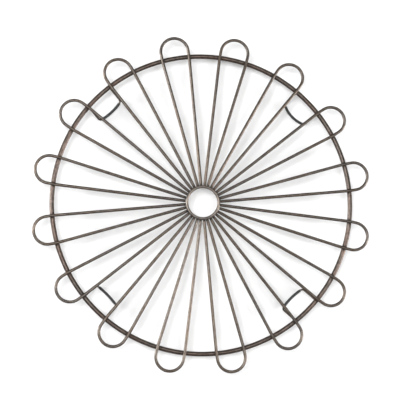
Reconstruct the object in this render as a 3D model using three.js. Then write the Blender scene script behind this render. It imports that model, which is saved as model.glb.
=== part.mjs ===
// A round wire frame: sixteen hairpin petals of wire are welded across the front of a thicker
// wire rim, their inner ends meet under a small hub ring, and four bent wire feet behind the
// rim, each with a black sleeve on its bow, hold the frame off a table or a wall.
// Millimetres. +Z points out of the front, and the frame lies on its feet at z = 0.

import * as THREE from 'three';

// Wire gauges, as diameters, and the gap that is left where two pieces touch
const petalWire = 3.5;
const hubWire = 3.4;
const rimWire = 5.4;
const footWire = 2.0;
const sleeveDiameter = 3.2;
const sleeveBore = 2.5;
const touchGap = 0.3;

// Plan, with every radius to the middle of its wire
const petalTipRadius = 198.4;
const rimRadius = 175.1;
const hubRadius = 18.65;
const legEndRadius = 19.6; // the petals end under the outer half of the hub ring
const petalCount = 16;
const firstPetalDegrees = 11.25;
const legDegrees = 5.287; // each leg of a petal to the petal's own middle line
const petalEndRadius = 16.16;

// A foot is a U of wire whose plane slopes down and inward from the rim
const footSlopeDegrees = 30;
const footHalfWidth = 17;
const footCornerRadius = 4;
const footReach = 153.1; // from the frame's middle to the middle of a foot's bow
const feet = [
  { name: 'upper_right', degrees: 45, bowRadius: 36 },
  { name: 'upper_left', degrees: 135, bowRadius: 70 },
  { name: 'lower_left', degrees: 225, bowRadius: 100 },
  { name: 'lower_right', degrees: 315, bowRadius: 80 },
];

// Facets
const petalSides = 8;
const ringSides = 8;
const footSides = 12; // with a foot's slope of 30 degrees, one flat faces straight down
const rimFacets = 96;
const hubFacets = 48;
const neckSteps = 2;
const petalEndSteps = 16; // puts a corner where each petal end reaches furthest along X or Y
const footCornerSteps = 4;
const bowSteps = 7; // an odd number leaves one level step in the middle of each bow

const finishes = {
  petal: { color: 0x6b615a, roughness: 0.42, metalness: 0.85 },
  rim: { color: 0x5c4f48, roughness: 0.42, metalness: 0.85 },
  hub: { color: 0x7a736c, roughness: 0.38, metalness: 0.85 },
  foot: { color: 0x5f554d, roughness: 0.45, metalness: 0.85 },
  sleeve: { color: 0x3a3a3b, roughness: 0.75, metalness: 0.0 },
};

const radians = THREE.MathUtils.degToRad;

// Heights of the wires' middles, worked upward from the surface under the feet
const bowHeight = sleeveDiameter / 2;
const footLegReach = Math.sqrt(rimRadius ** 2 - footHalfWidth ** 2) - footReach;
const footLegEndHeight = bowHeight + footLegReach * Math.tan(radians(footSlopeDegrees));
const footLegEndTop = footLegEndHeight + (footWire / 2) * Math.cos(radians(footSlopeDegrees));
const rimHeight = footLegEndTop + touchGap + rimWire / 2;
const petalHeight = rimHeight + rimWire / 2 + touchGap + petalWire / 2;
const hubUndersideRise = Math.sqrt((hubWire / 2) ** 2 - (legEndRadius - hubRadius) ** 2);
const hubHeight = petalHeight + petalWire / 2 + touchGap + hubUndersideRise;

// A wire's middle line, held as the stations where its section stands
class BentWire extends THREE.Curve {
  constructor(stations) {
    super();
    this.stations = stations;
  }

  stationAt(share) {
    return this.stations[Math.round(share * (this.stations.length - 1))];
  }

  getPoint(share) {
    return this.stationAt(share).point.clone();
  }

  getPointAt(share) {
    return this.getPoint(share);
  }

  getTangentAt(share) {
    return this.stationAt(share).direction.clone();
  }

  getSpacedPoints() {
    return this.stations.map((station) => station.point.clone());
  }
}

// Follows a wire in its own plane as a bender makes it. Each move is a straight run, or a bend
// to the left with a radius, an angle in degrees and a number of steps.
function bend(x, y, headingDegrees, moves) {
  let heading = radians(headingDegrees);
  const point = new THREE.Vector3(x, y, 0);
  const stations = [];
  const mark = () => {
    const direction = new THREE.Vector3(Math.cos(heading), Math.sin(heading), 0);
    stations.push({ point: point.clone(), direction });
  };
  mark();
  for (const move of moves) {
    const steps = move.steps ?? 1;
    const turn = radians(move.degrees ?? 0) / steps;
    const chord = move.degrees ? 2 * move.radius * Math.sin(turn / 2) : move.run;
    for (let step = 0; step < steps; step += 1) {
      point.x += chord * Math.cos(heading + turn / 2);
      point.y += chord * Math.sin(heading + turn / 2);
      heading += turn;
      mark();
    }
  }
  return stations;
}

// A regular polygon round a circle of this diameter, with a flat across each axis
function polygon(diameter, sides) {
  const cornerDistance = diameter / 2 / Math.cos(Math.PI / sides);
  const corners = [];
  for (let side = 0; side < sides; side += 1) {
    const angle = (side + 0.5) * 2 * Math.PI / sides;
    corners.push(new THREE.Vector2(Math.cos(angle), Math.sin(angle)).multiplyScalar(cornerDistance));
  }
  return corners;
}

function wireGeometry(stations, diameter, sides, bore = 0) {
  const section = new THREE.Shape(polygon(diameter, sides));
  if (bore > 0) section.holes.push(new THREE.Path(polygon(bore, sides)));
  const extrudePath = new BentWire(stations);
  return new THREE.ExtrudeGeometry(section, { steps: stations.length - 1, extrudePath });
}

// A closed ring of wire, flat in XY
function ringGeometry(radius, diameter, facets) {
  const profile = polygon(diameter, ringSides);
  profile.forEach((corner) => { corner.x += radius; });
  profile.push(profile[0].clone());
  return new THREE.LatheGeometry(profile, facets).rotateX(Math.PI / 2);
}

// A hairpin petal pointing along +X: a leg out, a gentle neck, a round end and the way back.
// The neck is the one arc that leads from the leg's direction into the round end.
function petalGeometry() {
  const endMiddle = petalTipRadius - petalEndRadius;
  const legAngle = radians(legDegrees);
  const neckRadius = (endMiddle * Math.tan(legAngle) - petalEndRadius) / (1 / Math.cos(legAngle) - 1);
  const legEnd = (endMiddle - neckRadius * Math.sin(legAngle)) / Math.cos(legAngle);
  const leg = { run: legEnd - legEndRadius };
  const neck = { radius: neckRadius, degrees: legDegrees, steps: neckSteps };
  const roundEnd = { radius: petalEndRadius, degrees: 180, steps: petalEndSteps };
  const x = legEndRadius * Math.cos(legAngle);
  const y = -legEndRadius * Math.sin(legAngle);
  const stations = bend(x, y, -legDegrees, [leg, neck, roundEnd, neck, leg]);
  return wireGeometry(stations, petalWire, petalSides);
}

// The stations of a foot, legs toward +X and the level step of its bow on x = 0. The round
// corners touch both the legs and the bow's larger circle from inside.
function footStations(bowRadius) {
  const cornerSide = footHalfWidth - footCornerRadius;
  const cornerFromBowMiddle = bowRadius - footCornerRadius;
  const halfBow = Math.asin(cornerSide / cornerFromBowMiddle);
  const bowMiddleX = bowRadius * Math.cos(halfBow / bowSteps);
  const cornerX = bowMiddleX - Math.sqrt(cornerFromBowMiddle ** 2 - cornerSide ** 2);
  const legEndX = footLegReach / Math.cos(radians(footSlopeDegrees));
  const halfBowDegrees = THREE.MathUtils.radToDeg(halfBow);
  const leg = { run: legEndX - cornerX };
  const corner = { radius: footCornerRadius, degrees: 90 - halfBowDegrees, steps: footCornerSteps };
  const bow = { radius: bowRadius, degrees: 2 * halfBowDegrees, steps: bowSteps };
  return bend(legEndX, footHalfWidth, 180, [leg, corner, bow, corner, leg]);
}

function piece(name, geometry, finish) {
  const mesh = new THREE.Mesh(geometry, new THREE.MeshStandardMaterial(finishes[finish]));
  mesh.name = name;
  return mesh;
}

const group = new THREE.Group();

const rim = piece('rim', ringGeometry(rimRadius, rimWire, rimFacets), 'rim');
rim.position.z = rimHeight;
group.add(rim);

for (let index = 0; index < petalCount; index += 1) {
  const number = String(index + 1).padStart(2, '0');
  const petal = piece(`petal_${number}`, petalGeometry(), 'petal');
  petal.rotation.z = radians(firstPetalDegrees + index * 360 / petalCount);
  petal.position.z = petalHeight;
  group.add(petal);
}

const hub = piece('hub_ring', ringGeometry(hubRadius, hubWire, hubFacets), 'hub');
hub.position.z = hubHeight;
group.add(hub);

for (const foot of feet) {
  const stations = footStations(foot.bowRadius);
  const firstOfBow = 1 + footCornerSteps;
  const bowStations = stations.slice(firstOfBow, firstOfBow + bowSteps + 1);
  const wire = piece(`foot_${foot.name}`, wireGeometry(stations, footWire, footSides), 'foot');
  const sleeveGeometry = wireGeometry(bowStations, sleeveDiameter, footSides, sleeveBore);
  const sleeve = piece(`foot_sleeve_${foot.name}`, sleeveGeometry, 'sleeve');
  const place = new THREE.Group();
  for (const mesh of [wire, sleeve]) {
    mesh.position.set(footReach, 0, bowHeight);
    mesh.rotation.y = -radians(footSlopeDegrees);
    place.add(mesh);
  }
  place.rotation.z = radians(foot.degrees);
  group.add(place);
}

export default group;
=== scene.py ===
import math

import bpy
import numpy as np
from mathutils import Matrix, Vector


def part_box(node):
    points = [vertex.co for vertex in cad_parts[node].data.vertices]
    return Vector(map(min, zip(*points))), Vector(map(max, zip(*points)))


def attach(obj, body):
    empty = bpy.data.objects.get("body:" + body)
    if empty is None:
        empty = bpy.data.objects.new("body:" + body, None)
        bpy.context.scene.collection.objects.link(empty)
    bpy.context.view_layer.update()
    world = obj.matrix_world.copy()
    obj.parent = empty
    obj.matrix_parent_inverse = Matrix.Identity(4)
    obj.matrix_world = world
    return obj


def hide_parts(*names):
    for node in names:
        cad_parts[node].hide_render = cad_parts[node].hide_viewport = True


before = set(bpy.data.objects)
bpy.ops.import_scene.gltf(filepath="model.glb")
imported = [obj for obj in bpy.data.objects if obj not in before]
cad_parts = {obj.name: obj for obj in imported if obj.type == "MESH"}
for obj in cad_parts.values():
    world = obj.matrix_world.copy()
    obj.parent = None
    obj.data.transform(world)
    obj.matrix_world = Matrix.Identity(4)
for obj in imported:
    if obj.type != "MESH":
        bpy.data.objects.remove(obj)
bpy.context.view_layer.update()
print("frame loaded:", len(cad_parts), "CAD nodes")

fullTurn = 2 * math.pi
frontShare = 0.25  # a quarter of the way round a wire from its side is its front


def middleHeight(node):
    low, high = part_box(node)
    return (low.z + high.z) / 2


def wireRadius(node):
    # a wire that lies flat is as high as it is thick
    low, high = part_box(node)
    return (high.z - low.z) / 2


def ringRadius(node):
    # out to the wire's middle line
    low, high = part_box(node)
    return (high.x - low.x) / 2 - wireRadius(node)


# things that stand in the scene


def newObject(name, data):
    thing = bpy.data.objects.new(name, data)
    bpy.context.scene.collection.objects.link(thing)
    return thing


def standBack(thing, place, back, roll=0.0):
    # a camera or a lamp looks away from back, with its x level and then rolled about back
    right = np.cross([0, 1, 0], back)
    right /= np.linalg.norm(right)
    up = np.cross(back, right)
    matrix = np.identity(4)
    matrix[:3, 0] = right * math.cos(roll) + up * math.sin(roll)
    matrix[:3, 1] = up * math.cos(roll) - right * math.sin(roll)
    matrix[:3, 2], matrix[:3, 3] = back, place
    thing.matrix_world = Matrix(matrix.tolist())


# camera: 7.6 degrees off straight down, leaning to the lower left, through a long lens

viewpoint = {
    "distance": 1.3977,
    "leanDegrees": 7.604,
    "leanTowardsDegrees": -126.165,
    "rollDegrees": 0.747,
    "aim": (-0.0031, 0.0034),
    "lens": 107.78,
    "sensor": 36.0,
    "clipStart": 0.01,
}


def makeCamera():
    lean = math.radians(viewpoint["leanDegrees"])
    towards = math.radians(viewpoint["leanTowardsDegrees"])
    height = middleHeight("petal_01")
    level = math.sin(lean)
    outward = np.array([level * math.cos(towards), level * math.sin(towards), math.cos(lean)])
    eye = np.array([0, 0, height]) + viewpoint["distance"] * outward
    back = eye - np.array([*viewpoint["aim"], height])
    back /= np.linalg.norm(back)
    data = bpy.data.cameras.new("camera")
    data.lens = viewpoint["lens"]
    data.sensor_width = viewpoint["sensor"]
    data.clip_start = viewpoint["clipStart"]
    camera = newObject("camera", data)
    standBack(camera, eye, back, math.radians(viewpoint["rollDegrees"]))
    bpy.context.scene.camera = camera


makeCamera()
print("camera placed")


# wires: middle lines, skins and the mesh that holds them


def followBends(start, heading, moves, along):
    # A move is (length, turn). Its heading changes evenly along it, so it is an arc, or
    # straight where the turn is 0. The place at a distance is the start plus what each move
    # adds up to there.
    x = np.full(along.shape, float(start[0]))
    y = np.full(along.shape, float(start[1]))
    turned = np.full(along.shape, float(heading))
    begin, aim = 0.0, heading
    for length, turn in moves:
        part = np.clip(along - begin, 0, length)
        if turn:
            radius = length / turn
            x += radius * (np.sin(aim + part / radius) - math.sin(aim))
            y += radius * (math.cos(aim) - np.cos(aim + part / radius))
            turned += part / radius
        else:
            x += part * math.cos(aim)
            y += part * math.sin(aim)
        begin += length
        aim += turn
    return x, y, turned


def stationsAlong(length, step, endRound):
    # even steps, with a few close ones at both ends for the rounded cut
    ends = endRound * np.array([0, 0.25, 0.6, 1.0])
    count = max(2, int(round((length - 2 * endRound) / step)))
    middle = np.linspace(endRound, length - endRound, count + 1)[1:-1]
    return np.concatenate([ends, middle, length - ends[::-1]])


def cutEnd(along, length, endRound, keep=0.82):
    # the share of the full radius left at each station: a quarter round at both cut ends
    inside = np.clip(np.minimum(along, length - along) / endRound, 0, 1)
    return keep + (1 - keep) * np.sqrt(1 - (1 - inside) ** 2)


def tube(middle, side, top, radii, sides):
    # at each station, a circle in the plane of the side and top directions
    angle = np.arange(sides) * fullTurn / sides
    across = np.cos(angle)[None, :, None] * side[:, None, :]
    upward = np.sin(angle)[None, :, None] * top[:, None, :]
    return middle[:, None, :] + radii[:, None, None] * (across + upward)


def levelWire(start, heading, moves, along, radii, height, sides):
    # a wire bent in a level plane, with its circle square to its heading at each station
    x, y, turned = followBends(start, heading, moves, along)
    middle = np.stack([x, y, np.full_like(x, height)], axis=-1)
    side = np.stack([-np.sin(turned), np.cos(turned), np.zeros_like(x)], axis=-1)
    top = np.tile([0.0, 0.0, 1.0], (len(x), 1))
    return tube(middle, side, top, radii, sides)


def turnedAbout(points, angle):
    # turned about the frame's own axis
    c, s = math.cos(angle), math.sin(angle)
    return points @ np.array([[c, s, 0], [-s, c, 0], [0, 0, 1]])


def gridFaces(count, rings, sides, closed):
    # four corners a face, first round the ring and then along, which turns the faces outward
    ring = np.arange(rings if closed else rings - 1)
    step = np.arange(sides)
    ringNow, stepNow = np.meshgrid(ring, step, indexing="ij")
    ringNext, stepNext = (ringNow + 1) % rings, (stepNow + 1) % sides
    corners = np.stack([
        ringNow * sides + stepNow, ringNow * sides + stepNext,
        ringNext * sides + stepNext, ringNext * sides + stepNow,
    ], axis=-1).reshape(-1, 4)
    offset = np.arange(count)[:, None, None] * rings * sides
    return (corners[None] + offset).reshape(-1, 4)


def gridMap(count, lengths, sides, closed, total):
    # u is the distance along in metres and v the share of the way round, one pair per face corner
    ringEnd = np.append(lengths[1:], total) if closed else lengths[1:]
    ringStart = lengths if closed else lengths[:-1]
    share = np.arange(sides) / sides
    along = np.stack([ringStart, ringStart, ringEnd, ringEnd], axis=-1)
    around = np.stack([share, share + 1 / sides, share + 1 / sides, share], axis=-1)
    u = along[:, None, :].repeat(sides, axis=1)
    v = around[None].repeat(len(ringStart), axis=0)
    pair = np.stack([u, v], axis=-1).reshape(-1, 2)
    return np.tile(pair, (count, 1))


def skinMesh(name, grids, lengths, closed=False, total=0.0, stainShade=None):
    # grids holds one skin or several, as (count, rings, sides, 3). An open skin gets a flat
    # cap at both ends. The weld darkness is one number for each point, 1 where it is dark round a
    # weld: weld stain, and painted shade in the crevice where the wires meet.
    count, rings, sides, _ = grids.shape
    faces = gridFaces(count, rings, sides, closed)
    pairs = gridMap(count, lengths, sides, closed, total)
    loops = faces.reshape(-1)
    starts = np.arange(len(faces)) * 4
    sizes = np.full(len(faces), 4)
    smooth = np.ones(len(faces), bool)
    if not closed:
        base = np.arange(count)[:, None] * rings * sides
        first = base + np.arange(sides)[::-1][None]
        last = base + (rings - 1) * sides + np.arange(sides)[None]
        caps = np.concatenate([first, last])
        starts = np.concatenate([starts, len(loops) + np.arange(len(caps)) * sides])
        sizes = np.concatenate([sizes, np.full(len(caps), sides)])
        loops = np.concatenate([loops, caps.reshape(-1)])
        smooth = np.concatenate([smooth, np.zeros(len(caps), bool)])
        capPairs = np.tile([lengths[0], frontShare], (caps.size, 1))
        pairs = np.concatenate([pairs, capPairs])
    mesh = bpy.data.meshes.new(name)
    points = grids.reshape(-1, 3)
    mesh.vertices.add(len(points))
    mesh.vertices.foreach_set("co", points.astype(np.float32).ravel())
    mesh.loops.add(len(loops))
    mesh.loops.foreach_set("vertex_index", loops.astype(np.int32))
    mesh.polygons.add(len(starts))
    mesh.polygons.foreach_set("loop_start", starts.astype(np.int32))
    mesh.polygons.foreach_set("loop_total", sizes.astype(np.int32))
    mesh.polygons.foreach_set("use_smooth", smooth)
    mesh.update(calc_edges=True)
    wireMap = mesh.uv_layers.new(name="wireMap")
    wireMap.data.foreach_set("uv", pairs.astype(np.float32).ravel())
    # weld stain and painted shade in the crevices round the welds, one value for each point
    weldStainAndShade = mesh.attributes.new("weldStainAndShade", "FLOAT", "POINT")
    values = np.zeros(len(points)) if stainShade is None else stainShade.reshape(-1)
    weldStainAndShade.data.foreach_set("value", values.astype(np.float32))
    mesh.validate()
    return mesh


def addPiece(name, mesh, material, slot, *nodes):
    piece = newObject(name, mesh)
    mesh.materials.append(material)
    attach(piece, "root")
    if nodes:
        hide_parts(*nodes)


def nearWelds(points, welds, reach):
    # 1 at a weld, falling smoothly to 0 at the reach
    nearest = np.full(points.shape[:-1], np.inf)
    for weld in welds:
        nearest = np.minimum(nearest, np.linalg.norm(points - weld, axis=-1))
    share = np.clip(1 - nearest / reach, 0, 1)
    return share * share * (3 - 2 * share)


# materials


def linearColor(red, green, blue):
    # from the 0 to 255 values that a colour picker shows
    value = np.array([red, green, blue]) / 255
    linear = np.where(value <= 0.04045, value / 12.92, ((value + 0.055) / 1.055) ** 2.4)
    return (*linear.tolist(), 1.0)


def newGroup(name, inputs, outputs):
    group = bpy.data.node_groups.new(name, "ShaderNodeTree")
    for label, kind, value in inputs:
        kindName = "NodeSocket" + kind
        socket = group.interface.new_socket(name=label, in_out="INPUT", socket_type=kindName)
        socket.default_value = value
    for label, kind in outputs:
        kindName = "NodeSocket" + kind
        group.interface.new_socket(name=label, in_out="OUTPUT", socket_type=kindName)
    return group, group.nodes.new("NodeGroupInput"), group.nodes.new("NodeGroupOutput")


class Wiring:
    # short ways to add and join shader nodes in one tree

    def __init__(self, tree):
        self.nodes = tree.nodes
        self.links = tree.links

    def feed(self, socket, value):
        if isinstance(value, bpy.types.NodeSocket):
            self.links.new(value, socket)
        else:
            socket.default_value = value

    def math(self, operation, first, second=0.0, third=0.0, clamp=False):
        node = self.nodes.new("ShaderNodeMath")
        node.operation = operation
        node.use_clamp = clamp
        for socket, value in zip(node.inputs, (first, second, third)):
            self.feed(socket, value)
        return node.outputs[0]

    def between(self, value, low, high, start=0.0, end=1.0):
        # start at low, end at high and smooth in between
        node = self.nodes.new("ShaderNodeMapRange")
        node.interpolation_type = "SMOOTHSTEP"
        for socket, number in zip(node.inputs, (value, low, high, start, end)):
            self.feed(socket, number)
        return node.outputs[0]

    def blend(self, share, first, second):
        node = self.nodes.new("ShaderNodeMix")
        node.data_type = "RGBA"
        self.feed(node.inputs["Factor"], share)
        self.feed(node.inputs[6], first)
        self.feed(node.inputs[7], second)
        return node.outputs[2]

    def noise(self, vector, scale, detail=2.0, roughness=0.5):
        node = self.nodes.new("ShaderNodeTexNoise")
        self.feed(node.inputs["Vector"], vector)
        self.feed(node.inputs["Scale"], scale)
        node.inputs["Detail"].default_value = detail
        node.inputs["Roughness"].default_value = roughness
        return node.outputs["Fac"]

    def cells(self, vector, scale):
        node = self.nodes.new("ShaderNodeTexVoronoi")
        self.feed(node.inputs["Vector"], vector)
        self.feed(node.inputs["Scale"], scale)
        return node.outputs["Distance"]

    def vector(self, x, y, z):
        node = self.nodes.new("ShaderNodeCombineXYZ")
        for socket, value in zip(node.inputs, (x, y, z)):
            self.feed(socket, value)
        return node.outputs[0]

    def split(self, vector):
        node = self.nodes.new("ShaderNodeSeparateXYZ")
        self.feed(node.inputs[0], vector)
        return node.outputs

    def place(self, group):
        node = self.nodes.new("ShaderNodeGroup")
        node.node_tree = group
        return node


drawnLook = {"lengthScale": 45.0, "roundScale": 3.2, "lineScale": 2.6}


def makeDrawnLines():
    # long fine lines that follow a drawn wire, from noise on the wire's own map. Going round
    # the wire is a circle in the noise, so the lines meet without a seam.
    group, given, result = newGroup(
        "drawnLines",
        [
            ("Wire Map", "Vector", (0, 0, 0)),
            ("Length Scale", "Float", drawnLook["lengthScale"]),
            ("Round Scale", "Float", drawnLook["roundScale"]),
        ],
        [("Lines", "Float"), ("Front", "Float")],
    )
    wiring = Wiring(group)
    along, around, _ = wiring.split(given.outputs["Wire Map"])
    angle = wiring.math("MULTIPLY", around, fullTurn)
    cosine = wiring.math("COSINE", angle)
    sine = wiring.math("SINE", angle)
    place = wiring.vector(
        wiring.math("MULTIPLY", cosine, given.outputs["Round Scale"]),
        wiring.math("MULTIPLY", sine, given.outputs["Round Scale"]),
        wiring.math("MULTIPLY", along, given.outputs["Length Scale"]),
    )
    lines = wiring.noise(place, drawnLook["lineScale"], detail=3.0, roughness=0.6)
    wiring.feed(result.inputs["Lines"], lines)
    wiring.feed(result.inputs["Front"], sine)
    return group


agedLook = {
    "driftScale": 28.0, "blotchScale": 260.0, "grainScale": 2100.0, "pitScale": 950.0,
    "warmFrom": 0.36, "warmTo": 0.64, "rubSheenFrom": 0.56, "rubSheenTo": 0.82, "rubSheenByLines": 0.35,
    "frontFrom": -0.15, "frontTo": 0.95, "stainShadeFrom": 0.2, "stainShadeTo": 0.6, "stainShadeLeast": 0.65,
    "roughness": 0.24, "blotchRoughness": 0.26, "rubPolish": 0.1, "weldRoughness": 0.14,
    "grainHeight": 0.35, "lineHeight": 0.45, "blotchHeight": 0.5, "pitDepth": 0.3, "pitWidth": 0.22,
}


def makeAgedBronze():
    # dark bronze coating, drifting between a redder and a greener brown. The front of the wire is
    # painted paler in patches: rubbed wear and a painted highlight along the wire's top. Round the
    # welds it is painted dark: weld stain and painted shade in the crevices.
    look = agedLook
    group, given, result = newGroup(
        "agedBronze",
        [
            ("Coat", "Color", (0.1, 0.08, 0.07, 1)),
            ("Warm Coat", "Color", (0.12, 0.08, 0.06, 1)),
            ("Rubbed And Sheen", "Color", (0.3, 0.25, 0.2, 1)),
            ("Crevice", "Color", (0.03, 0.025, 0.02, 1)),
            ("Place", "Vector", (0, 0, 0)),
            ("Lines", "Float", 0.5),
            ("Front", "Float", 0.0),
            ("Weld Stain And Shade", "Float", 0.0),
            ("Rub And Sheen Amount", "Float", 0.5),
            ("Crevice Amount", "Float", 0.7),
        ],
        [("Color", "Color"), ("Roughness", "Float"), ("Relief", "Float")],
    )
    wiring = Wiring(group)
    place = given.outputs["Place"]
    lines = given.outputs["Lines"]
    drift = wiring.noise(place, look["driftScale"], detail=2.0)
    blotches = wiring.noise(place, look["blotchScale"], detail=4.0, roughness=0.62)
    grain = wiring.noise(place, look["grainScale"], detail=2.0)
    pits = wiring.cells(place, look["pitScale"])
    warmth = wiring.between(drift, look["warmFrom"], look["warmTo"])
    coat = wiring.blend(warmth, given.outputs["Coat"], given.outputs["Warm Coat"])
    # paler patches on the front of the wire: rubbed wear, and a painted highlight along the wire's
    # top
    patches = wiring.math("ADD", blotches, wiring.math("MULTIPLY", lines, look["rubSheenByLines"]))
    patches = wiring.between(patches, look["rubSheenFrom"], look["rubSheenTo"])
    facing = wiring.between(given.outputs["Front"], look["frontFrom"], look["frontTo"])
    rubAndSheen = wiring.math("MULTIPLY", patches, facing)
    rubAndSheen = wiring.math("MULTIPLY", rubAndSheen, given.outputs["Rub And Sheen Amount"], clamp=True)
    rubbedAndSheen = wiring.blend(rubAndSheen, coat, given.outputs["Rubbed And Sheen"])
    # the dark round the welds, in patches: weld stain and painted shade in the crevices, which also
    # roughens the surface
    uneven = wiring.between(blotches, look["stainShadeFrom"], look["stainShadeTo"], look["stainShadeLeast"])
    stainAndShade = wiring.math("MULTIPLY", given.outputs["Weld Stain And Shade"], uneven)
    creviceShare = wiring.math("MULTIPLY", stainAndShade, given.outputs["Crevice Amount"], clamp=True)
    color = wiring.blend(creviceShare, rubbedAndSheen, given.outputs["Crevice"])
    rough = wiring.math("MULTIPLY_ADD", blotches, look["blotchRoughness"], look["roughness"])
    rough = wiring.math("SUBTRACT", rough, wiring.math("MULTIPLY", rubAndSheen, look["rubPolish"]))
    rough = wiring.math("MULTIPLY_ADD", stainAndShade, look["weldRoughness"], rough)
    drawn = wiring.math("MULTIPLY", lines, look["lineHeight"])
    relief = wiring.math("MULTIPLY_ADD", grain, look["grainHeight"], drawn)
    relief = wiring.math("MULTIPLY_ADD", blotches, look["blotchHeight"], relief)
    hollow = wiring.between(pits, 0.0, look["pitWidth"], look["pitDepth"], 0.0)
    relief = wiring.math("SUBTRACT", relief, hollow)
    wiring.feed(result.inputs["Color"], color)
    wiring.feed(result.inputs["Roughness"], rough)
    wiring.feed(result.inputs["Relief"], relief)
    return group


drawnLines = makeDrawnLines()
agedBronze = makeAgedBronze()

# the rubbed colour goes on the front of each wire: rubbed wear and a painted highlight. The crevice
# colour goes round the welds: weld stain and painted shade
bronzes = {
    "petalBronze": {
        "coat": (80, 74, 70), "warmCoat": (85, 75, 67),
        "rubbedAndSheen": (113, 105, 97), "crevice": (38, 33, 30),
        "rubSheenAmount": 0.5, "creviceAmount": 0.75,
        "metal": 0.85, "edge": (0.6, 0.57, 0.54, 1), "relief": 0.00004,
    },
    "rimBronze": {
        "coat": (71, 65, 61), "warmCoat": (79, 67, 61),
        "rubbedAndSheen": (117, 104, 97), "crevice": (38, 32, 29),
        "rubSheenAmount": 0.45, "creviceAmount": 0.65,
        "metal": 0.85, "edge": (0.5, 0.46, 0.43, 1), "relief": 0.00005,
    },
    # a lit copy of the bronze: the hub ring's coat and rubbed colours are paler than the petals', a
    # painted highlight for the light on its top
    "hubBronzeLit": {
        "coat": (98, 92, 87), "warmCoat": (102, 92, 85),
        "rubbedAndSheen": (137, 130, 122), "crevice": (42, 37, 33),
        "rubSheenAmount": 0.6, "creviceAmount": 0.5,
        "metal": 0.88, "edge": (0.6, 0.57, 0.54, 1), "relief": 0.00003,
    },
    "footBronze": {
        "coat": (79, 72, 67), "warmCoat": (85, 72, 64),
        "rubbedAndSheen": (113, 103, 94), "crevice": (38, 33, 29),
        "rubSheenAmount": 0.45, "creviceAmount": 0.7,
        "metal": 0.85, "edge": (0.6, 0.57, 0.54, 1), "relief": 0.00004,
    },
    "weldBronze": {
        "coat": (62, 56, 52), "warmCoat": (68, 57, 51),
        "rubbedAndSheen": (92, 84, 76), "crevice": (38, 33, 29),
        "rubSheenAmount": 0.4, "creviceAmount": 0.5,
        "metal": 0.8, "edge": (0.5, 0.47, 0.44, 1), "relief": 0.00008,
    },
}
coatSockets = {"Coat": "coat", "Warm Coat": "warmCoat", "Rubbed And Sheen": "rubbedAndSheen", "Crevice": "crevice"}


def makeBronze(name):
    look = bronzes[name]
    material = bpy.data.materials.new(name)
    material.use_nodes = True
    wiring = Wiring(material.node_tree)
    shader = material.node_tree.nodes["Principled BSDF"]
    coordinates = wiring.nodes.new("ShaderNodeTexCoord")
    wireMap = wiring.nodes.new("ShaderNodeUVMap")
    wireMap.uv_map = "wireMap"
    # the weld darkness painted on the mesh: weld stain and painted shade in the crevices
    weldStainAndShade = wiring.nodes.new("ShaderNodeAttribute")
    weldStainAndShade.attribute_name = "weldStainAndShade"
    lines = wiring.place(drawnLines)
    wiring.feed(lines.inputs["Wire Map"], wireMap.outputs["UV"])
    aged = wiring.place(agedBronze)
    wiring.feed(aged.inputs["Place"], coordinates.outputs["Object"])
    wiring.feed(aged.inputs["Lines"], lines.outputs["Lines"])
    wiring.feed(aged.inputs["Front"], lines.outputs["Front"])
    wiring.feed(aged.inputs["Weld Stain And Shade"], weldStainAndShade.outputs["Fac"])
    for socket, key in coatSockets.items():
        aged.inputs[socket].default_value = linearColor(*look[key])
    aged.inputs["Rub And Sheen Amount"].default_value = look["rubSheenAmount"]
    aged.inputs["Crevice Amount"].default_value = look["creviceAmount"]
    bump = wiring.nodes.new("ShaderNodeBump")
    bump.inputs["Distance"].default_value = look["relief"]
    bump.inputs["Strength"].default_value = 1.0
    wiring.feed(bump.inputs["Height"], aged.outputs["Relief"])
    wiring.feed(shader.inputs["Base Color"], aged.outputs["Color"])
    wiring.feed(shader.inputs["Roughness"], aged.outputs["Roughness"])
    wiring.feed(shader.inputs["Normal"], bump.outputs["Normal"])
    shader.inputs["Metallic"].default_value = look["metal"]
    shader.inputs["Specular Tint"].default_value = look["edge"]
    return material


materials = {name: makeBronze(name) for name in bronzes}

sleeveLook = {
    "color": (42, 42, 43), "dust": (76, 75, 74), "dustAmount": 0.5, "relief": 0.00006,
    "cloudScale": 420.0, "grainScale": 2600.0, "dustFrom": 0.45, "dustTo": 0.75,
    "roughness": 0.5, "cloudRoughness": 0.2, "grainHeight": 0.6,
}


def makeSleeveRubber():
    # charcoal rubber with a fine leathery grain and a little dust in clouds
    look = sleeveLook
    material = bpy.data.materials.new("sleeveRubber")
    material.use_nodes = True
    wiring = Wiring(material.node_tree)
    shader = material.node_tree.nodes["Principled BSDF"]
    coordinates = wiring.nodes.new("ShaderNodeTexCoord")
    place = coordinates.outputs["Object"]
    cloud = wiring.noise(place, look["cloudScale"], detail=3.0)
    grain = wiring.noise(place, look["grainScale"], detail=2.0)
    stainAndShade = wiring.between(cloud, look["dustFrom"], look["dustTo"])
    dust = wiring.math("MULTIPLY", stainAndShade, look["dustAmount"])
    color = wiring.blend(dust, linearColor(*look["color"]), linearColor(*look["dust"]))
    rough = wiring.math("MULTIPLY_ADD", cloud, look["cloudRoughness"], look["roughness"])
    bump = wiring.nodes.new("ShaderNodeBump")
    bump.inputs["Distance"].default_value = look["relief"]
    height = wiring.math("MULTIPLY_ADD", grain, look["grainHeight"], cloud)
    wiring.feed(bump.inputs["Height"], height)
    wiring.feed(shader.inputs["Base Color"], color)
    wiring.feed(shader.inputs["Roughness"], rough)
    wiring.feed(shader.inputs["Normal"], bump.outputs["Normal"])
    return material


materials["sleeveRubber"] = makeSleeveRubber()
print("materials made:", len(materials))


# rim and hub: closed rings of wire, each with a ground butt weld where the ring starts

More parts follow.
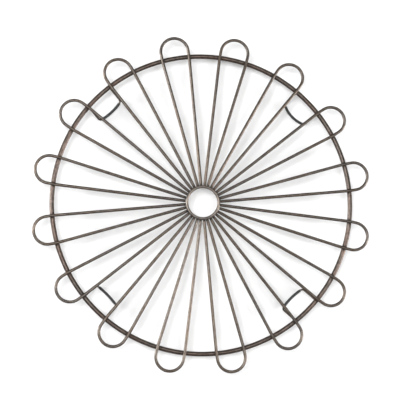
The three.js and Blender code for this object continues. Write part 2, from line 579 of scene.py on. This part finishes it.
ringLook = {
    "rim": {
        "material": "rimBronze", "slot": "rim_bronze", "stations": 640, "sides": 32,
        "weldDegrees": 281.25, "weldLength": 0.0016, "weldRise": 0.00008, "stainShadeReach": 0.0055,
    },
    "hub_ring": {
        "material": "hubBronzeLit", "slot": "hub_bronze", "stations": 160, "sides": 32,
        # the hub ring takes the paler bronze, a painted highlight
        "weldDegrees": 236.25, "weldLength": 0.0012, "weldRise": -0.00005, "stainShadeReach": 0.0032,
    },
}


def buttWeld(distance, length, rise):
    # a bell-shaped swelling of the wire's radius, or a dip where it was ground too far
    return rise * np.exp(-(distance / length) ** 2)


def ringSkin(node):
    # the ring's circle, with the wire's circle carried round it
    look = ringLook[node]
    radius = ringRadius(node)
    turn = np.arange(look["stations"]) * fullTurn / look["stations"]
    out = np.stack([np.cos(turn), np.sin(turn), np.zeros_like(turn)], axis=-1)
    up = np.tile([0.0, 0.0, 1.0], (len(turn), 1))
    middle = out * radius + up * middleHeight(node)
    distance = radius * np.minimum(turn, fullTurn - turn)
    radii = wireRadius(node) + buttWeld(distance, look["weldLength"], look["weldRise"])
    # the circle starts on the inner side, which turns the faces outward
    skin = tube(middle, -out, up, radii, look["sides"])
    return turnedAbout(skin, math.radians(look["weldDegrees"])), radius * turn, fullTurn * radius


# petals: hairpins with straight radial legs, a gentle neck and a round end

petalLook = {
    "count": 16, "firstDegrees": 11.25, "legDegrees": 5.287,
    "endRadius": 0.01616, "tipRadius": 0.1984, "legEndRadius": 0.0196,
    "step": 0.0015, "sides": 24, "endRound": 0.0004, "searchSteps": 4000, "stainShadeReach": 0.005,
}


def petalStart():
    # where the first leg's inner end is, and which way it runs, for a petal along +X
    leg = math.radians(petalLook["legDegrees"])
    inner = petalLook["legEndRadius"]
    return (inner * math.cos(leg), -inner * math.sin(leg)), -leg


def petalMoves():
    # the neck is the one arc that leads from the leg's direction into the round end
    leg = math.radians(petalLook["legDegrees"])
    endMiddle = petalLook["tipRadius"] - petalLook["endRadius"]
    neckRadius = (endMiddle * math.tan(leg) - petalLook["endRadius"]) / (1 / math.cos(leg) - 1)
    legEnd = (endMiddle - neckRadius * math.sin(leg)) / math.cos(leg)
    straight = (legEnd - petalLook["legEndRadius"], 0.0)
    neck = (neckRadius * leg, leg)
    return [straight, neck, (math.pi * petalLook["endRadius"], math.pi), neck, straight]


def petalSkin():
    # a petal along +X, and the distance of each station along it
    moves = petalMoves()
    length = sum(move[0] for move in moves)
    along = stationsAlong(length, petalLook["step"], petalLook["endRound"])
    radii = wireRadius("petal_01") * cutEnd(along, length, petalLook["endRound"])
    start, heading = petalStart()
    height = middleHeight("petal_01")
    return levelWire(start, heading, moves, along, radii, height, petalLook["sides"]), along


def petalAngles():
    first, count = petalLook["firstDegrees"], petalLook["count"]
    return [math.radians(first + 360 * index / count) for index in range(count)]


def rimCrossings():
    # where each petal leg's underside meets the rim's front, with the leg's direction: the
    # place along the leg and neck that is nearest to the rim's own radius
    moves = petalMoves()
    along = np.linspace(0, moves[0][0] + moves[1][0], petalLook["searchSteps"])
    x, y, heading = followBends(*petalStart(), moves, along)
    nearest = np.argmin(np.abs(np.hypot(x, y) - ringRadius("rim")))
    height = (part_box("rim")[1].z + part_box("petal_01")[0].z) / 2
    found = []
    for angle in petalAngles():
        for mirror in (1, -1):
            point = np.array([x[nearest], mirror * y[nearest], height])
            run = np.array([math.cos(heading[nearest]), mirror * math.sin(heading[nearest]), 0])
            found.append((turnedAbout(point, angle), turnedAbout(run, angle)))
    return found


def hubContacts():
    # where each leg's end meets the back of the hub ring, with the leg's direction
    leg = math.radians(petalLook["legDegrees"])
    height = (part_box("hub_ring")[0].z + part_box("petal_01")[1].z) / 2
    found = []
    for angle in petalAngles():
        for mirror in (1, -1):
            run = turnedAbout(np.array([math.cos(leg), mirror * math.sin(leg), 0]), angle)
            found.append((run * petalLook["legEndRadius"] + np.array([0, 0, height]), run))
    return found


# feet: U-shaped wires that slope down and inward from the rim, with a sleeve on each bow

footLook = {
    "bowReach": 0.1531, "slopeDegrees": 30, "halfWidth": 0.017, "cornerRadius": 0.004,
    "wireRadius": 0.001, "step": 0.0006, "sides": 24, "endRound": 0.0003, "stainShadeReach": 0.004,
}
sleeveShape = {
    "radius": 0.0016, "bore": 0.00103, "lip": 0.0004, "lipSteps": 5,
    "step": 0.0005, "sides": 32, "unevenness": 0.00003, "waves": 900,
}
feet = {
    "upper_right": {"degrees": 45, "bowRadius": 0.036},
    "upper_left": {"degrees": 135, "bowRadius": 0.070},
    "lower_left": {"degrees": 225, "bowRadius": 0.100},
    "lower_right": {"degrees": 315, "bowRadius": 0.080},
}


def footPath(name):
    # a foot in its own plane: x runs out along its legs from the bow's middle, y across
    look, foot = footLook, feet[name]
    cornerSide = look["halfWidth"] - look["cornerRadius"]
    cornerReach = foot["bowRadius"] - look["cornerRadius"]
    halfBow = math.asin(cornerSide / cornerReach)
    cornerX = foot["bowRadius"] - math.sqrt(cornerReach ** 2 - cornerSide ** 2)
    slope = math.radians(look["slopeDegrees"])
    legReach = math.sqrt(ringRadius("rim") ** 2 - look["halfWidth"] ** 2) - look["bowReach"]
    legEnd = legReach / math.cos(slope)
    leg = (legEnd - cornerX, 0.0)
    corner = (look["cornerRadius"] * (math.pi / 2 - halfBow), math.pi / 2 - halfBow)
    bow = (foot["bowRadius"] * 2 * halfBow, 2 * halfBow)
    return (legEnd, look["halfWidth"]), [leg, corner, bow, corner, leg]


def footPoints(local, name):
    # from the foot's plane to the frame: leaned up by the slope, moved out to the bow, then
    # turned to its place
    slope = math.radians(footLook["slopeDegrees"])
    x, y, z = local[..., 0], local[..., 1], local[..., 2]
    out = x * math.cos(slope) - z * math.sin(slope) + footLook["bowReach"]
    up = x * math.sin(slope) + z * math.cos(slope) + sleeveShape["radius"]
    return turnedAbout(np.stack([out, y, up], axis=-1), math.radians(feet[name]["degrees"]))


def footWireSkin(name):
    start, moves = footPath(name)
    length = sum(move[0] for move in moves)
    along = stationsAlong(length, footLook["step"], footLook["endRound"])
    radii = footLook["wireRadius"] * cutEnd(along, length, footLook["endRound"])
    wire = levelWire(start, math.pi, moves, along, radii, 0.0, footLook["sides"])
    return footPoints(wire, name), along


def sleeveSkin(name):
    # out along the bow, over a rounded lip, back inside the bore and over the other lip: a
    # closed ring of circles. The outside is a little uneven where the tube was pushed on: a
    # sine along the bow that fades out to both ends.
    shape = sleeveShape
    start, moves = footPath(name)
    first = moves[0][0] + moves[1][0]
    bowLength = moves[2][0]
    lip, outer, uneven = shape["lip"], shape["radius"], shape["unevenness"]
    steps = int(bowLength / shape["step"])
    out = np.linspace(lip, bowLength - lip, steps)
    quarter = np.linspace(0, math.pi / 2, shape["lipSteps"] + 1)[1:]
    ease = outer - lip
    endDistance = bowLength - lip + lip * np.sin(quarter)
    endRadius = ease + lip * np.cos(quarter)
    back = np.linspace(bowLength, 0, steps)
    startDistance = lip - lip * np.sin(quarter[::-1])
    startRadius = ease + lip * np.cos(quarter[::-1])
    distance = np.concatenate([out, endDistance, back, startDistance])
    pushed = uneven * np.sin(out * shape["waves"]) * np.sin(math.pi * out / bowLength) - uneven
    inside = np.full(len(back), shape["bore"])
    radii = np.concatenate([outer + pushed, endRadius, inside, startRadius])
    sleeve = levelWire(start, math.pi, moves, first + distance, radii, 0.0, shape["sides"])
    return footPoints(sleeve, name), distance


def footContacts(name):
    # where each leg's end meets the back of the rim, with the leg's direction out along the foot
    start, _ = footPath(name)
    ends = np.array([[start[0], start[1], 0], [start[0], -start[1], 0]])
    unitBack = ends - np.array([1, 0, 0])
    runs = footPoints(ends, name) - footPoints(unitBack, name)
    return list(zip(footPoints(ends, name), runs))


# welds: the skin round two wires whose distances are blended, which leaves a fillet between them

weldLook = {
    "rings": 30, "sides": 48, "poleGap": 0.06, "marchSteps": 64,
    "sink": 0.00007, "lumpiness": 0.22, "mapLength": 0.006,
    "rim": {"blend": 0.0021, "reach": 0.0044, "ahead": 0.02, "behind": 0.02},
    "hub_ring": {"blend": 0.0019, "reach": 0.0031, "ahead": 0.02, "behind": -0.000525},
    "foot": {"blend": 0.0018, "reach": 0.0036, "ahead": -0.0004, "behind": 0.02, "lift": 0.8},
}


def distanceToRing(points, node):
    flat = np.hypot(points[..., 0], points[..., 1]) - ringRadius(node)
    return np.hypot(flat, points[..., 2] - middleHeight(node)) - wireRadius(node)


def distanceToBar(points, end, run, radius, ahead, behind):
    # a straight round bar through end, from behind it to ahead of it along its run
    offset = points - end
    along = np.clip(offset @ run, -behind, ahead)
    return np.linalg.norm(offset - along[..., None] * run, axis=-1) - radius


def blendedDistance(first, second, width):
    # the smaller of two distances, with a smooth dip where they are alike
    share = np.clip(0.5 + 0.5 * (second - first) / width, 0, 1)
    return second + (first - second) * share - width * share * (1 - share)


def weldSkin(contact, field, reach, seed):
    # from the contact point, walk out in every direction until the blended distance is zero.
    # The lumps are a product of two sines of the direction, and widen or narrow the fillet.
    polar = np.linspace(weldLook["poleGap"], math.pi - weldLook["poleGap"], weldLook["rings"])
    angle = np.arange(weldLook["sides"]) * fullTurn / weldLook["sides"]
    direction = np.stack([
        np.sin(polar)[:, None] * np.cos(angle)[None],
        np.sin(polar)[:, None] * np.sin(angle)[None],
        np.cos(polar)[:, None] * np.ones_like(angle)[None],
    ], axis=-1)
    waves = np.sin(3 * direction[..., 0] + 2.3 * seed) * np.cos(4 * direction[..., 1] + 1.7 * seed)
    lumps = 1 + weldLook["lumpiness"] * waves
    walk = np.linspace(0, 1, weldLook["marchSteps"]) * reach
    points = contact + walk[:, None, None, None] * direction[None]
    value = field(points, lumps[None])
    outside = value > 0
    hit = np.argmax(outside, axis=0)
    never = ~outside.any(axis=0)
    before = np.clip(hit - 1, 0, None)
    after = np.take_along_axis(value, hit[None], axis=0)[0]
    inside = np.take_along_axis(value, before[None], axis=0)[0]
    part = np.where(hit > 0, inside / np.minimum(inside - after, -1e-9), 0)
    found = walk[before] + part * (walk[hit] - walk[before])
    found = np.where(never, reach, found)
    return contact + found[..., None] * direction


def weldTo(ring, look, contact, end, run, radius, seed):
    # a bar of the given radius through end, welded to the rim or the hub ring at the contact
    def field(points, lumps):
        bar = distanceToBar(points, end, run, radius, look["ahead"], look["behind"])
        width = look["blend"] * lumps
        return blendedDistance(bar, distanceToRing(points, ring), width) + weldLook["sink"]

    return weldSkin(contact, field, look["reach"], seed)


def legWeld(ring, contact, run, seed):
    middle = np.array([*contact[:2], middleHeight("petal_01")])
    return weldTo(ring, weldLook[ring], contact, middle, run, wireRadius("petal_01"), seed)


def rimWeld(contact, run, seed):
    return legWeld("rim", contact, run, seed)


def hubWeld(contact, run, seed):
    return legWeld("hub_ring", contact, run, seed)


def footWeld(end, run, seed):
    look = weldLook["foot"]
    contact = end + np.array([0, 0, (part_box("rim")[0].z - end[2]) * look["lift"]])
    return weldTo("rim", look, contact, end, run, footLook["wireRadius"], seed)


crossings = rimCrossings()
hubEnds = hubContacts()
footEnds = {name: footContacts(name) for name in feet}
allFootEnds = [pair for pairs in footEnds.values() for pair in pairs]

for node, contacts in (("rim", crossings + allFootEnds), ("hub_ring", hubEnds)):
    look = ringLook[node]
    skin, lengths, total = ringSkin(node)
    # darker round each weld: weld stain and painted shade where the wires meet
    stainShade = nearWelds(skin, [point for point, _ in contacts], look["stainShadeReach"])
    mesh = skinMesh(node + "Wire", skin[None], lengths, closed=True, total=total, stainShade=stainShade)
    addPiece(node + "_wire", mesh, materials[look["material"]], look["slot"], node)
print("rim and hub ring made")

petal, petalAlong = petalSkin()
for index, angle in enumerate(petalAngles()):
    name = f"petal_{index + 1:02d}"
    skin = turnedAbout(petal, angle)
    legs = slice(2 * index, 2 * index + 2)
    welds = [point for point, _ in crossings[legs] + hubEnds[legs]]
    stainShade = nearWelds(skin, welds, petalLook["stainShadeReach"])
    mesh = skinMesh(name + "Wire", skin[None], petalAlong, stainShade=stainShade)
    addPiece(name + "_wire", mesh, materials["petalBronze"], "petal_bronze", name)
print("petals made:", petalLook["count"])

for name in feet:
    skin, lengths = footWireSkin(name)
    stainShade = nearWelds(skin, [point for point, _ in footEnds[name]], footLook["stainShadeReach"])
    mesh = skinMesh(f"foot_{name}Wire", skin[None], lengths, stainShade=stainShade)
    addPiece(f"foot_{name}_wire", mesh, materials["footBronze"], "foot_bronze", f"foot_{name}")
    skin, lengths = sleeveSkin(name)
    mesh = skinMesh(f"foot_{name}Sleeve", skin[None], lengths, closed=True, total=lengths[0])
    sleeveNode = f"foot_sleeve_{name}"
    addPiece(f"foot_{name}_sleeve", mesh, materials["sleeveRubber"], "sleeve_black", sleeveNode)
print("feet and sleeves made:", len(feet))

for name, maker, contacts in (
    ("rim_welds", rimWeld, crossings),
    ("hub_welds", hubWeld, hubEnds),
    ("foot_welds", footWeld, allFootEnds),
):
    skins = np.stack([maker(point, run, seed) for seed, (point, run) in enumerate(contacts)])
    lengths = np.linspace(0, weldLook["mapLength"], skins.shape[1])
    # every weld is darkened all over: weld stain and painted shade in its crevice
    mesh = skinMesh(name + "Mesh", skins, lengths, stainShade=np.ones(skins.shape[:3]))
    addPiece(name, mesh, materials["weldBronze"], "petal_bronze")
print("welds made:", len(crossings) + len(hubEnds) + len(allFootEnds))


# floor, lights and the room: a high soft light from the left, a low one from each side that
# runs down the upright wires, and a weak fill from high on the right

studio = {
    "floorSize": 6.0, "floorColor": (0.91, 0.91, 0.91, 1), "floorRoughness": 0.9,
    "roomStrength": 0.13, "aimHeight": 0.02,
    "lights": {
        "topSoftbox": {
            "azimuth": 165, "elevation": 74, "distance": 2.6, "size": 1.1, "power": 43.0,
        },
        "leftSoftbox": {
            "azimuth": 174, "elevation": 13, "distance": 1.5, "size": 0.5, "power": 23.0,
        },
        "rightSoftbox": {
            "azimuth": 347, "elevation": 13, "distance": 1.5, "size": 0.5, "power": 22.0,
        },
        "rightFill": {
            "azimuth": 345, "elevation": 72, "distance": 1.5, "size": 0.7, "power": 7.0,
        },
    },
}


def makeFloor():
    half = studio["floorSize"] / 2
    mesh = bpy.data.meshes.new("floor")
    corners = [(-half, -half, 0), (half, -half, 0), (half, half, 0), (-half, half, 0)]
    mesh.from_pydata(corners, [], [(0, 1, 2, 3)])
    floor = newObject("floor", mesh)
    material = bpy.data.materials.new("paleFloor")
    material.use_nodes = True
    shader = material.node_tree.nodes["Principled BSDF"]
    shader.inputs["Base Color"].default_value = studio["floorColor"]
    shader.inputs["Roughness"].default_value = studio["floorRoughness"]
    shader.inputs["Specular IOR Level"].default_value = 0.0
    mesh.materials.append(material)


def makeLights():
    # azimuth goes round from +X towards +Y, and every lamp faces the middle of the frame
    target = np.array([0, 0, studio["aimHeight"]])
    for name, light in studio["lights"].items():
        data = bpy.data.lights.new(name, "AREA")
        data.shape = "DISK"
        data.size = light["size"]
        data.energy = light["power"]
        azimuth, elevation = math.radians(light["azimuth"]), math.radians(light["elevation"])
        level = math.cos(elevation)
        back = np.array([level * math.cos(azimuth), level * math.sin(azimuth), math.sin(elevation)])
        standBack(newObject(name, data), target + light["distance"] * back, back)


def makeRoom():
    world = bpy.data.worlds.new("whiteRoom")
    world.use_nodes = True
    background = world.node_tree.nodes["Background"]
    background.inputs["Color"].default_value = (1, 1, 1, 1)
    background.inputs["Strength"].default_value = studio["roomStrength"]
    bpy.context.scene.world = world


makeFloor()
makeLights()
makeRoom()
bpy.context.scene.view_settings.view_transform = "Standard"
print("studio made")
